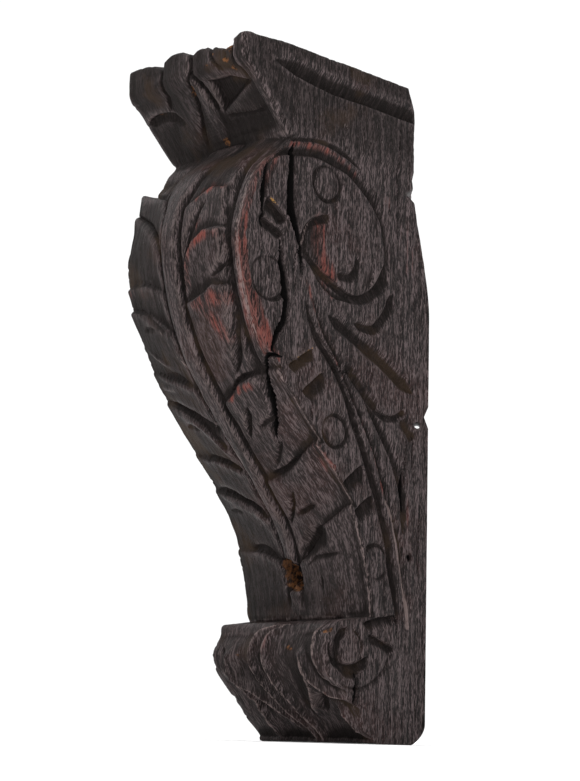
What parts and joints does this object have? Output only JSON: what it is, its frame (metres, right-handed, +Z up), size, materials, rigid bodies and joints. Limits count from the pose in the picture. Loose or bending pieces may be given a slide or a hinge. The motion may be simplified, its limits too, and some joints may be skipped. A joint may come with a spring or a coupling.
{
  "type": "corbel bracket",
  "caption": "Old carved oak corbel bracket with a leaf front, studded side straps, volutes and a small scroll foot; it fixes by its flat back and carries a load on its flat top",
  "frame": {"origin": "the centre of the flat back face, where the corbel meets the wall or post", "axes": "+Y points out of the back face into the wall, the carved front faces -Y, +Z is up and +X is the side with the long crack"},
  "size_m": [0.113, 0.1787, 0.422],
  "materials": {
    "old_oak": "near-black aged oak with open grain, mahogany-red worn ridges and a low satin sheen"
  },
  "bodies": {
    "root": {"carved_oak_corbel": "old_oak"}
  },
  "joints": []
}
